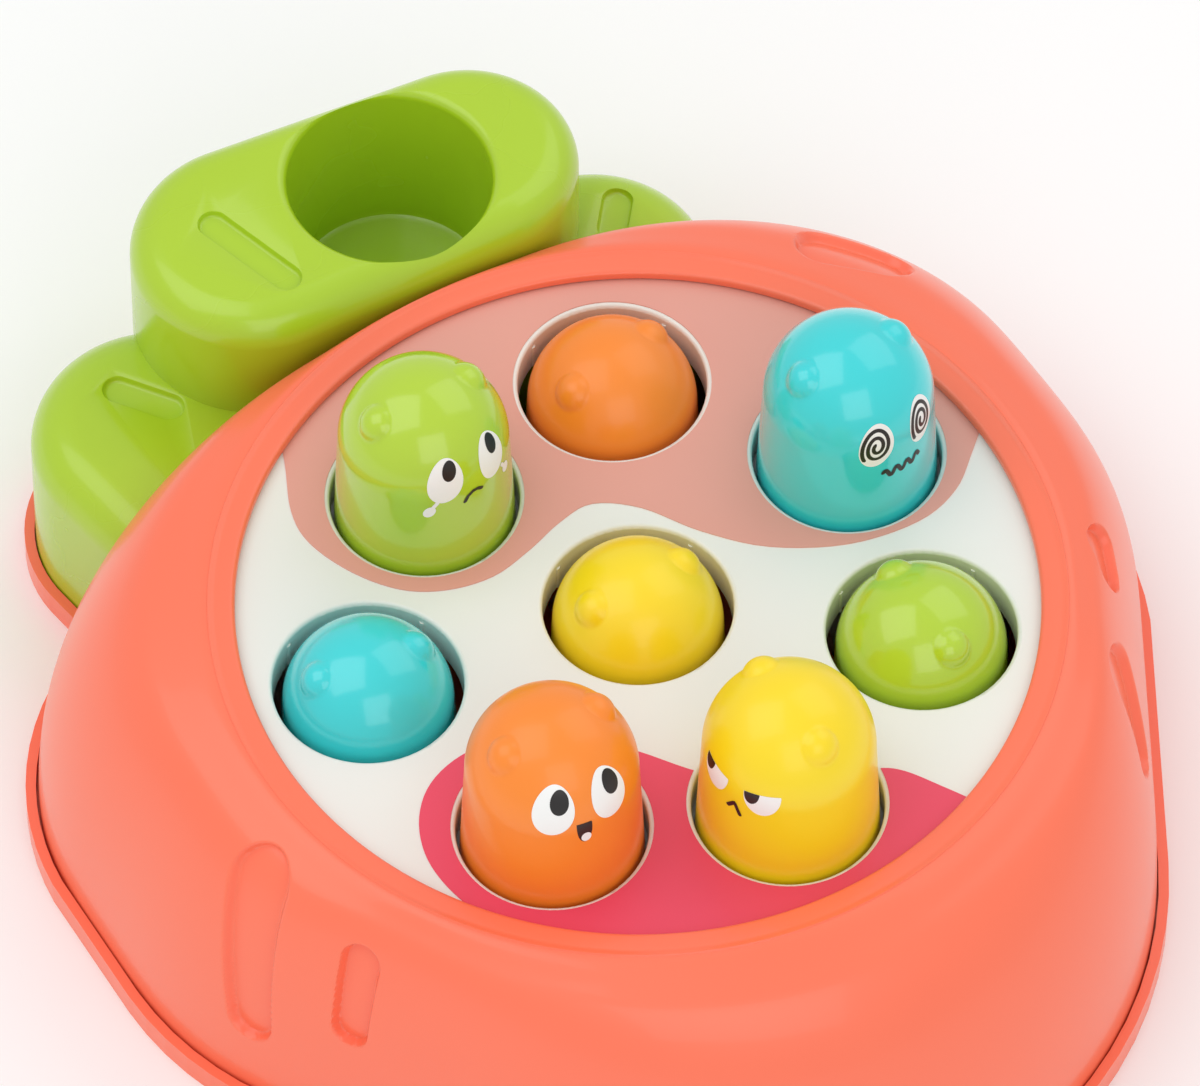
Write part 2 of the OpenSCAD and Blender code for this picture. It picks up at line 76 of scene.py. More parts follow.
# Rim band from the crease inwards, then down and back under its edge: radius, height.
RIM_PROFILE = [
    (98.25, 77.3),
    (97.8, 77.25),
    (97.4, 76.98),
    (96.5, 76.95),
    (93.2, 76.95),
    (92.5, 76.8),
    (92.1, 76.4),
    (92.0, 75.9),
    (92.0, 74.9),
    (92.3, 74.6),
    (96.5, 74.6),
]

# Pressed marks on the body: first point, last point, outward direction, half width at each end.
MARKS = [
    ((-111.4, -17, 68.0), (-120.0, -26.0, 31), (-0.9, -0.33, 0.29), (8.6, 6.2)),
    ((-101.4, -45.1, 63.6), (-106.1, -47.6, 43.7), (-0.83, -0.48, 0.28), (5.2, 4.8)),
    ((92.7, 65.1, 72.6), (102.3, 55.9, 70.4), (0.46, 0.29, 0.84), (8.2, 7.6)),
    ((101.3, -39.3, 69.6), (99.3, -45.2, 67.4), (0.76, -0.44, 0.48), (5.6, 5.2)),
    ((88.0, -69.0, 63.4), (86.4, -80.5, 48.6), (0.81, -0.49, 0.31), (8.2, 6.6)),
]
# Where the marks act: heights, reach along the direction, flat share of the width, share with finer
# faces, and the nearness given to a place that a mark can't reach.
MARK_LOWEST = 8.0
MARK_HIGHEST = 76.8
MARK_REACH = 12.0
MARK_FLOOR = 0.76
FINE_WITHIN = 1.25
FINE_CUTS = 2
FAR_AWAY = 9.0

# Leaf name: circles, top height, rounding of the top edge.
LEAVES = {
    "middle": (MIDDLE_LEAF, 85.0, 9.0),
    "left": (LEFT_LEAF, 52.0, 11.0),
    "right": (RIGHT_LEAF, 53.0, 11.0),
}
LEAF_PITCH = 1.6
LEAF_PASSES = 2
LEAF_LOW_Z = 12.0
LEAF_WAIST = 0.6
LEAF_ROUND_STEPS = 16

# Slots in the leaves: first point, last point, height of the leaf. Profile: inset, height above the leaf.
LEAF_SLOTS = [
    ((-31, 137), (-24.5, 115), 85.0),
    ((-62.5, 129), (-55, 118.5), 52.0),
    ((65, 114), (60, 108), 53.0),
]
SLOT_R = 3.6
SLOT_PITCH = 0.6
SLOT_PROFILE = [
    (0.9, -1.7),
    (0.5, -1.6),
    (0.2, -1.3),
    (0.05, -0.8),
    (0.0, -0.4),
    (-0.15, -0.1),
    (-0.5, 0.1),
    (-0.5, 3.0),
]

# Cup in the middle leaf: x, y, radius, height of the floor, height of the lip.
CUP = (11.0, 127.6, 24.0, 38.0, 85.0)
CUP_POINTS = 128
CUP_CENTRE_R = 0.4
# Corner at the cup's floor: distance in from the wall, height above the floor.
CUP_CORNER = [(2.0, 0.0), (0.6, 0.6), (0.0, 2.0)]
CUP_LIP = 2.5
CUP_LIP_STEPS = 8
# End of the cut above the lip: distance out from the wall, height above the leaf.
CUP_MOUTH = (2.6, 4.0)

# Mole name: x, y, turn of the cap in degrees, height of the skirt's lower edge, turn of the printed face.
MOLES = {
    "yellow_front": (0.0, -64.3, -90.0, 64.0, 19.0),
    "yellow_centre": (0.0, 0.0, 0.0, 34.0, 19.0),
    "cyan_right": (63.4, 11.0, 0.0, 64.0, 7.0),
    "green_right": (51.4, -39.9, -90.0, 34.0, 5.5),
    "green_back": (-25.7, 51.6, 0.0, 64.0, 5.5),
    "orange_back": (28.0, 56.5, 11.0, 34.0, -8.0),
    "orange_left": (-48.7, -41.8, 0.0, 64.0, -8.0),
    "cyan_left": (-63.6, 13.9, -10.0, 34.0, 7.0),
}
DOME_R = 19.7
DOME_ROWS = 48
SKIRT_R = 21.1
SKIRT_H = 33.3
# Lower edge of the skirt: distance in from its radius, height.
SKIRT_EDGE = [(2.0, 0.0), (0.6, 0.0), (0.17, 0.18), (0.03, 0.6)]
SKIRT_HEIGHTS = (3, 8, 14, 20, 26, 30, SKIRT_H)
EAR_NEAR = 0.8
EAR_BLEND = 0.012

# Printed faces: a lowered mole carries its face further down.
RAISED_ABOVE = 50.0
LOWERED_DROP = 15.0
INK_LIFT = 0.06
TOP_INK_LIFT = 0.1
PRINT_POINTS = 56
PATCH_ROWS = 8
PATCH_SPAN = 7.02
STROKE_STEP = 0.25
STROKE_TIP = 0.02
SPIRAL_POINTS = 90
WAVE_STEPS = 60

# Finish name: roughness, coat, drift of the tone, strength of the skin.
FINISHES = {
    "coral": (0.34, 0.25, 0.02, 0.03),
    "leaf": (0.27, 0.4, 0.03, 0.02),
    "panel": (0.38, 0.15, 0.015, 0.03),
    "pink_print": (0.42, 0.1, 0.02, 0.03),
    "crimson_print": (0.42, 0.1, 0.02, 0.03),
    "mole_green": (0.2, 0.6, 0.025, 0.01),
    "mole_cyan": (0.2, 0.6, 0.025, 0.01),
    "mole_orange": (0.36, 0.2, 0.025, 0.03),
    "mole_yellow": (0.36, 0.2, 0.025, 0.03),
    "inner_plastic": (0.5, 0.0, 0.02, 0.05),
    "steel": (0.3, 0.0, 0.03, 0.03),
    "print_white": (0.4, 0.1, 0.01, 0.02),
    "print_black": (0.4, 0.1, 0.08, 0.02),
}
# Patterns shared by all finishes. Scales are per metre, the skin's depth is in metres.
DRIFT_SCALE = 26.0
SKIN_SCALE = 1400.0
SKIN_DEPTH = 0.0002
GLOSS_DRIFT = 0.08
COAT_ROUGHNESS = 0.08
PLASTIC_IOR = 1.5
# Finishes of the CAD nodes by their whole name or its first word. A cap has its mole's colour.
NODE_FINISHES = {
    "base_tray": "coral",
    "body_shell": "coral",
    "leaf_cover": "leaf",
    "face_panel": "panel",
    "pink_film": "pink_print",
    "crimson_film": "crimson_print",
    "case_screws": "steel",
    "pin": "steel",
    "rocker": "inner_plastic",
    "plunger": "inner_plastic",
}

# Stage, in metres. Lamp name: place, size, share of the key light's power.
LAMPS = {
    "key": ((-0.55, 0.35, 1.25), 1.15, 1.0),
    "fill": ((0.75, 0.15, 0.95), 0.9, 0.4),
    "front": ((-0.3, -1.0, 0.9), 0.9, 0.6),
}
LAMP_AIM = (0, 0, 0.05)
FLOOR_FADE = (0.25, 0.9)
# The photograph's view: turn and elevation in degrees, shift on the picture, distance, lens.
VIEW_TURN = 31.7
VIEW_LIFT = 54.6
VIEW_RIGHT = -8.68 * MM
VIEW_UP = 14.04 * MM
VIEW_DISTANCE = 3.0441
LENS = 400
SENSOR = 36


# Settings


def linear(rgb):
    """Linear colour of an sRGB colour written from 0 to 255."""
    out = []
    for c in rgb:
        c = c / 255
        out.append(c / 12.92 if c <= 0.04045 else ((c + 0.055) / 1.055) ** 2.4)
    return (*out, 1.0)


def colour(name, description, *rgb):
    """A colour setting whose default is an sRGB colour written from 0 to 255."""
    return bpy.props.FloatVectorProperty(
        name=name,
        description=description,
        default=linear(rgb),
        size=4,
        min=0.0,
        max=1.0,
        subtype="COLOR",
    )


def length(name, description, default):
    """A length setting in metres."""
    return bpy.props.FloatProperty(
        name=name,
        description=description,
        default=default,
        unit="LENGTH",
        subtype="DISTANCE",
    )


class ToyColourSettings(bpy.types.PropertyGroup):
    """Colours of the finishes."""

    coral: colour("Coral", "Body shell and tray", 255, 117, 84)
    leaf: colour("Leaf", "Leaf cover", 172, 206, 36)
    panel: colour("Panel", "Panel with the holes", 234, 234, 228)
    pink_print: colour("Pink print", "Outer film on the panel", 226, 159, 144)
    crimson_print: colour("Crimson print", "Inner film on the panel", 232, 68, 98)
    mole_green: colour("Green mole", "Caps of the green moles", 178, 210, 48)
    mole_orange: colour("Orange mole", "Caps of the orange moles", 250, 138, 40)
    mole_cyan: colour("Cyan mole", "Caps of the cyan moles", 52, 212, 216)
    mole_yellow: colour("Yellow mole", "Caps of the yellow moles", 250, 218, 20)
    inner_plastic: colour("Inner plastic", "Plungers and rockers", 225, 226, 228)
    steel: colour("Steel", "Pins and screws", 196, 198, 202)
    print_white: colour("White ink", "White of the faces", 244, 244, 242)
    print_black: colour("Black ink", "Black of the faces", 22, 18, 18)


class ToyBodySettings(bpy.types.PropertyGroup):
    """Shape of the body piece."""

    pitch: bpy.props.FloatProperty(
        name="Pitch",
        description="Spacing of the body's points in millimetres",
        default=1.3,
        min=0.5,
        max=8.0,
    )
    rows: bpy.props.IntProperty(
        name="Rows",
        description="Rings from crease to foot",
        default=80,
        min=8,
        max=160,
    )
    mark_depth: length("Mark depth", "Depth of the pressed marks", 0.0024)
    neck_depth: length("Neck depth", "Depth of the soft valley outside the crease", 0.0009)


class ToyCapSettings(bpy.types.PropertyGroup):
    """Shape of the mole caps."""

    segments: bpy.props.IntProperty(
        name="Segments",
        description="Points round a cap",
        default=192,
        min=24,
        max=360,
    )
    ear_radius: length("Ear radius", "Radius of an ear", 0.0052)
    ear_reach: length("Ear reach", "Distance of an ear's centre from the dome's centre", 0.0165)
    ear_lift: bpy.props.FloatProperty(
        name="Ear lift",
        description="Elevation of the ears on the dome",
        default=math.radians(49),
        unit="ROTATION",
        subtype="ANGLE",
    )


class ToyStageSettings(bpy.types.PropertyGroup):
    """Floor and light."""

    floor_size: length("Floor size", "Side of the floor", 8.0)
    key: bpy.props.FloatProperty(
        name="Key",
        description="Power of the key light",
        default=4.8,
        unit="POWER",
    )
    sky: bpy.props.FloatProperty(
        name="Sky",
        description="Strength of the surrounding light",
        default=0.71,
    )


# Materials


class Value:
    """A shader socket with the arithmetic of math nodes."""

    def __init__(self, graph, socket):
        self.graph = graph
        self.socket = socket

    def _math(self, operation, first, second):
        return self.graph.node("ShaderNodeMath", {"operation": operation}, {0: first, 1: second})

    def __add__(self, other):
        return self._math("ADD", self, other)

    def __radd__(self, other):
        return self._math("ADD", other, self)

    def __sub__(self, other):
        return self._math("SUBTRACT", self, other)

    def __rsub__(self, other):
        return self._math("SUBTRACT", other, self)

    def __mul__(self, other):
        return self._math("MULTIPLY", self, other)

    def __rmul__(self, other):
        return self._math("MULTIPLY", other, self)


class Graph:
    """The node tree of one material or world."""

    def __init__(self, owner):
        owner.use_nodes = True
        self.tree = owner.node_tree
        self.tree.nodes.clear()

    def node(self, kind, settings=None, sockets=None, out=0):
        """Adds a node with its settings and sockets, and gives one of its outputs."""
        n = self.tree.nodes.new(kind)
        for key, value in (settings or {}).items():
            setattr(n, key, value)
        for key, value in (sockets or {}).items():
            if isinstance(value, Value):
                self.tree.links.new(value.socket, n.inputs[key])
            else:
                n.inputs[key].default_value = value
        return Value(self, n.outputs[out]) if n.outputs else None


def finish_of(name):
    """A finish: a colour with slow drift, uneven gloss and a very fine skin."""
    title = "toy_" + name
    material = bpy.data.materials.get(title)
    if material:
        return material
    material = bpy.data.materials.new(title)
    roughness, coat, tone, grain = FINISHES[name]
    base = getattr(bpy.context.scene.toy_colours, name)[:3]
    dark = tuple(c * (1 - tone) for c in base) + (1.0,)
    light = tuple(min(1.0, c * (1 + tone)) for c in base) + (1.0,)
    g = Graph(material)
    place = g.node("ShaderNodeTexCoord", out=3)
    drift = g.node("ShaderNodeTexNoise", sockets={"Vector": place, "Scale": DRIFT_SCALE, "Detail": 3.0})
    fine = g.node("ShaderNodeTexNoise", sockets={"Vector": place, "Scale": SKIN_SCALE, "Detail": 2.0})
    mixed = g.node(
        "ShaderNodeMix",
        {"data_type": "RGBA"},
        {"Factor": drift, 6: dark, 7: light},
        out=2,
    )
    skin = g.node(
        "ShaderNodeBump",
        sockets={"Strength": grain, "Distance": SKIN_DEPTH, "Height": fine},
    )
    shader = g.node(
        "ShaderNodeBsdfPrincipled",
        sockets={
            "Base Color": mixed,
            "Roughness": roughness + GLOSS_DRIFT * (drift - 0.5),
            "Metallic": 1.0 if name == "steel" else 0.0,
            "Coat Weight": coat,
            "Coat Roughness": COAT_ROUGHNESS,
            "IOR": PLASTIC_IOR,
            "Normal": skin,
        },
    )
    g.node("ShaderNodeOutputMaterial", sockets={"Surface": shader})
    return material


# Modelling helpers


def clear_selection():
    """Object mode with nothing selected."""
    if bpy.context.mode != "OBJECT":
        bpy.ops.object.mode_set(mode="OBJECT")
    bpy.ops.object.select_all(action="DESELECT")


def activate(obj):
    """Only this object selected and active."""
    clear_selection()
    obj.select_set(True)
    bpy.context.view_layer.objects.active = obj


def edit_all(obj):
    """Edit mode with the whole mesh selected."""
    activate(obj)
    bpy.ops.object.mode_set(mode="EDIT")
    bpy.ops.mesh.select_all(action="SELECT")


def loft(name, rings, last_cap=False):
    """A tube through rings of points: a circle, extruded ring by ring, then placed."""
    count = len(rings[0])
    clear_selection()
    bpy.ops.mesh.primitive_circle_add(
        vertices=count,
        radius=1.0,
        fill_type="NOTHING",
        location=(0, 0, 0),
    )
    obj = bpy.context.object
    obj.name = name
    obj.data.name = name
    bpy.ops.object.mode_set(mode="EDIT")
    bpy.ops.mesh.select_mode(type="VERT")
    bpy.ops.mesh.select_all(action="SELECT")
    for _ in rings[1:]:
        bpy.ops.mesh.extrude_region_move(TRANSFORM_OT_translate={"value": (0, 0, 1)})
    if last_cap:
        bpy.ops.mesh.edge_face_add()
    bpy.ops.object.mode_set(mode="OBJECT")
    for vertex in obj.data.vertices:
        turn = round((math.atan2(vertex.co.y, vertex.co.x) / TAU - 0.25) * count) % count
        vertex.co = Vector(rings[round(vertex.co.z)][turn]) * MM
    return obj


def closed_loft(name, rings):
    """A loft with both ends filled."""
    solid = loft(name, rings, last_cap=True)
    edit_all(solid)
    bpy.ops.mesh.fill_holes(sides=0)
    bpy.ops.mesh.normals_make_consistent(inside=False)
    bpy.ops.object.mode_set(mode="OBJECT")
    return solid


def shade(obj, angle, outward=True):
    """Smooth shading below an angle in degrees, after the normals are turned outwards where asked."""
    edit_all(obj)
    if outward:
        bpy.ops.mesh.normals_make_consistent(inside=False)
    bpy.ops.object.mode_set(mode="OBJECT")
    bpy.ops.object.shade_smooth_by_angle(angle=math.radians(angle))


def join_solid(obj, other, operation):
    """Applies an exact boolean with another solid, which is then removed."""
    activate(obj)
    bpy.ops.object.modifier_add(type="BOOLEAN")
    modifier = obj.modifiers[-1]
    modifier.operation = operation
    modifier.solver = "EXACT"
    modifier.object = other
    bpy.ops.object.modifier_apply(modifier=modifier.name)
    activate(other)
    bpy.ops.object.delete(use_global=False)


def paint(obj, finish, body, replaced=()):
    """Gives a piece its finish, its body and the CAD nodes that it stands for."""
    obj.data.materials.clear()
    obj.data.materials.append(finish_of(finish))
    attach(obj, body)
    if replaced:
        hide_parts(*replaced)


def between(p, q, share):
    """The pair of numbers at a share of the way from p to q."""
    return (p[0] + (q[0] - p[0]) * share, p[1] + (q[1] - p[1]) * share)


def edge_at(discs, angle, inset):
    """Point of the outline whose normal has this angle."""
    d = (math.cos(angle), math.sin(angle))
    x, y, r = max(discs, key=lambda c: c[0] * d[0] + c[1] * d[1] + c[2])
    return (x + (r - inset) * d[0], y + (r - inset) * d[1])


def even_out(pairs, passes):
    """A closed row of pairs, each drawn towards its neighbours a number of times."""
    n = len(pairs)
    for _ in range(passes):
        pairs = [
            (
                (pairs[i - 1][0] + 2 * pairs[i][0] + pairs[(i + 1) % n][0]) / 4,
                (pairs[i - 1][1] + 2 * pairs[i][1] + pairs[(i + 1) % n][1]) / 4,
            )
            for i in range(n)
        ]
    return pairs


def outline(discs, inset, pitch, passes=0, turn_passes=0):
    """Points round an outline at about this pitch, each with the direction of its normal."""
    points = []
    for k in range(OUTLINE_STEPS):
        a0, a1 = TAU * k / OUTLINE_STEPS, TAU * (k + 1) / OUTLINE_STEPS
        p0, p1 = edge_at(discs, a0, inset), edge_at(discs, a1, inset)
        middle = edge_at(discs, (a0 + a1) / 2, inset)
        on_one_disc = abs(math.dist(p0, p1) - math.dist(middle, p0) * 2) < DISC_TOLERANCE
        parts = max(2, round(math.dist(p0, p1) / pitch))
        for j in range(parts):
            w = j / parts
            a = a0 + (a1 - a0) * w
            p = edge_at(discs, a, inset) if on_one_disc else between(p0, p1, w)
            points.append((*p, math.cos(a), math.sin(a)))
    places = even_out([p[:2] for p in points], passes)
    turns = even_out([p[2:] for p in points], turn_passes)
    return [(*p, t[0] / math.hypot(*t), t[1] / math.hypot(*t)) for p, t in zip(places, turns)]


def inset_rings(edge, levels, rise=0.0):
    """Rings inside an outline. Each level is a distance inwards and a height."""
    return [[(x - d * c, y - d * n, rise + z) for x, y, c, n in edge] for d, z in levels]


def round_rings(x, y, count, levels):
    """Circles round one axis. Each level is a radius and a height."""
    turns = [(math.cos(TAU * i / count), math.sin(TAU * i / count)) for i in range(count)]
    return [[(x + r * c, y + r * n, z) for c, n in turns] for r, z in levels]


def quarter_round(steps):
    """Steps of a quarter circle: way across and way up, as shares of its radius."""
    turns = [math.pi / 2 * k / steps for k in range(1, steps + 1)]
    return [(1 - math.cos(q), math.sin(q)) for q in turns]


def smooth_step(lo, hi, x):
    """0 below lo, 1 above hi, smooth between."""
    w = min(1.0, max(0.0, (x - lo) / (hi - lo)))
    return w * w * (3 - 2 * w)


# Pieces


class TOY_OT_body(bpy.types.Operator):
    """Build the body shell: a lofted carrot with a flat rim band and five pressed marks"""

    bl_idname = "toy.body"
    bl_label = "Body"

    def nearness(self, place, mark):
        """The outward direction of a mark, and how near a place is to it: below 1 inside."""
        first, last, out, half = mark
        a, b, o = Vector(first), Vector(last), Vector(out).normalized()
        p = place / MM
        w = min(1.0, max(0.0, (p - a).dot(b - a) / (b - a).length_squared))
        gap = p - (a + (b - a) * w)
        if p.z > MARK_HIGHEST or p.z < MARK_LOWEST or abs(gap.dot(o)) > MARK_REACH:
            return o, FAR_AWAY
        return o, (gap - o * gap.dot(o)).length / (half[0] + (half[1] - half[0]) * w)

    def refine(self, body):
        """Finer faces round the marks."""
        activate(body)
        for polygon in body.data.polygons:
            near = (self.nearness(polygon.center, mark)[1] for mark in MARKS)
            polygon.select = any(n < FINE_WITHIN for n in near)
        for edge in body.data.edges:
            edge.select = False
        bpy.ops.object.mode_set(mode="EDIT")
        bpy.ops.mesh.select_mode(type="FACE")
        bpy.ops.mesh.subdivide(number_cuts=FINE_CUTS)
        bpy.ops.object.mode_set(mode="OBJECT")

    def neck(self, degrees):
        """Share of the neck's depth at an angle of the curve from crease to foot."""
        start = 1 - math.exp(-((degrees / NECK_START) ** 2))
        return start * math.exp(-(((degrees - NECK_MIDDLE) / NECK_SPREAD) ** 2))

    def execute(self, context):
        s = context.scene.toy_body
        edge = outline(BODY_DISCS, SHELL_INSET, s.pitch, EDGE_PASSES, TURN_PASSES)
        rings = inset_rings(edge, [(FOOT_LIP, FOOT_Z)])
        for k in range(s.rows + 1):
            t = math.radians(90 * (1 - k / s.rows))
            z = FOOT_Z + (RIM_Z - FOOT_Z) * max(0.0, math.cos(t)) ** PUFF
            z -= s.neck_depth / MM * self.neck(math.degrees(t))
            w = math.sin(t)
            rings.append([(*between((CREASE_R * c, CREASE_R * n), (x, y), w), z) for x, y, c, n in edge])
        for r, z in RIM_PROFILE:
            rings.append([(r * c, r * n, z) for _, _, c, n in edge])
        body = loft("body_shell_piece", rings)
        self.refine(body)
        for vertex in body.data.vertices:
            for mark in MARKS:
                out, near = self.nearness(vertex.co, mark)
                if near < 1:
                    vertex.co -= out * s.mark_depth * (1 - smooth_step(MARK_FLOOR, 1.0, near))
        shade(body, 35)
        paint(body, "coral", "case", ["body_shell"])
        return {"FINISHED"}


class TOY_OT_leaves(bpy.types.Operator):
    """Build the leaf cover: three rounded leaves in one moulding, the cup and the slots"""

    bl_idname = "toy.leaves"
    bl_label = "Leaves"

    def leaf(self, name):
        """One leaf as a closed solid."""
        discs, top, rounding = LEAVES[name]
        side = top - rounding
        levels = [(0.0, FOOT_Z), (0.0, LEAF_LOW_Z), (0.0, LEAF_WAIST * side), (0.0, side)]
        levels += [(rounding * d, side + rounding * z) for d, z in quarter_round(LEAF_ROUND_STEPS)]
        edge = outline(discs, SHELL_INSET, LEAF_PITCH, LEAF_PASSES)
        return closed_loft("leaf_" + name, inset_rings(edge, levels))

    def cup(self):
        """The room inside the cup with its rounded lip, as a closed solid."""
        x, y, r, floor, top = CUP
        side = top - CUP_LIP
        levels = [(CUP_CENTRE_R, floor)]
        levels += [(r - d, floor + z) for d, z in CUP_CORNER]
        levels.append((r, side))
        levels += [(r + CUP_LIP * d, side + CUP_LIP * z) for d, z in quarter_round(CUP_LIP_STEPS)]
        levels.append((r + CUP_MOUTH[0], top + CUP_MOUTH[1]))
        return closed_loft("leaf_cup", round_rings(x, y, CUP_POINTS, levels))

    def slot(self, first, last, top):
        """The room of one slot, as a closed solid."""
        edge = outline([(*first, SLOT_R), (*last, SLOT_R)], 0.0, SLOT_PITCH)
        return closed_loft("leaf_slot", inset_rings(edge, SLOT_PROFILE, top))

    def execute(self, context):
        whole = self.leaf("middle")
        join_solid(whole, self.leaf("left"), "UNION")
        join_solid(whole, self.leaf("right"), "UNION")
        join_solid(whole, self.cup(), "DIFFERENCE")
        for first, last, top in LEAF_SLOTS:
            join_solid(whole, self.slot(first, last, top), "DIFFERENCE")
        whole.name = "leaf_cover_piece"
        shade(whole, 32)
        paint(whole, "leaf", "case", ["leaf_cover"])
        return {"FINISHED"}


class TOY_OT_caps(bpy.types.Operator):
    """Build the eight mole caps with their ears"""

    bl_idname = "toy.caps"
    bl_label = "Mole caps"

    def reach_of_skin(self, direction, ears, ear_radius, ear_reach):
        """Distance of the dome's skin from its centre in a direction, with the ears blended in."""
        skin = DOME_R
        for ear in ears:
            along = direction.dot(ear)
            if along < EAR_NEAR:
                continue
            room = ear_radius**2 - ear_reach**2 * max(0.0, 1 - along * along)
            reach = ear_reach * along + math.sqrt(max(0.0, room))
            skin = (skin + reach + math.sqrt((skin - reach) ** 2 + EAR_BLEND)) / 2
        return skin

    def direction(self, turn, lift):
        """Unit vector at a turn and an elevation."""
        return Vector((math.cos(lift) * math.cos(turn), math.cos(lift) * math.sin(turn), math.sin(lift)))

    def execute(self, context):
        s = context.scene.toy_caps
        n = s.segments
        for name, (x, y, turn, low, _) in MOLES.items():
            turn = math.radians(turn)
            ears = [self.direction(turn, s.ear_lift), self.direction(turn + math.pi, s.ear_lift)]
            slope = (DOME_R - SKIRT_R) / SKIRT_H
            levels = [(SKIRT_R - d, low + h) for d, h in SKIRT_EDGE]
            levels += [(SKIRT_R + slope * h, low + h) for h in SKIRT_HEIGHTS]
            rings = round_rings(x, y, n, levels)
            for k in range(1, DOME_ROWS):
                ring = []
                for i in range(n):
                    d = self.direction(TAU * i / n, math.pi / 2 * k / DOME_ROWS)
                    r = self.reach_of_skin(d, ears, s.ear_radius / MM, s.ear_reach / MM)
                    ring.append((x + r * d.x, y + r * d.y, low + SKIRT_H + r * d.z))
                rings.append(ring)
            cap = loft("mole_" + name, rings, last_cap=True)
            shade(cap, 40)
            finish = "mole_" + name.split("_")[0]
            paint(cap, finish, "mole_" + name, ["cap_" + name])
        return {"FINISHED"}


def leaning(centre, u, v, lean):
    """The print place at u across and v up from a centre, on axes that lean by an angle in degrees."""
    c, n = math.cos(math.radians(lean)), math.sin(math.radians(lean))
    return (centre[0] + u * c + v * n, centre[1] - u * n + v * c)


def half_moon(middle, top, half, depth, flat, fullness=1.0, slope=0.0):
    """A closed edge of print places: a straight top over a round belly.

    The top's middle is at (middle, top), half is half its length, and flat is the share of the
    points that lie on it.
    """
    edge = []
    for k in range(PRINT_POINTS):
        w = k / PRINT_POINTS
        if w < flat:
            edge.append((middle - half + 2 * half * w / flat, 0.0))
        else:
            q = math.pi * (w - flat) / (1 - flat)
            edge.append((middle + half * math.cos(q), depth * math.sin(q) ** fullness))
    return [(u, top + slope * u - v) for u, v in edge]


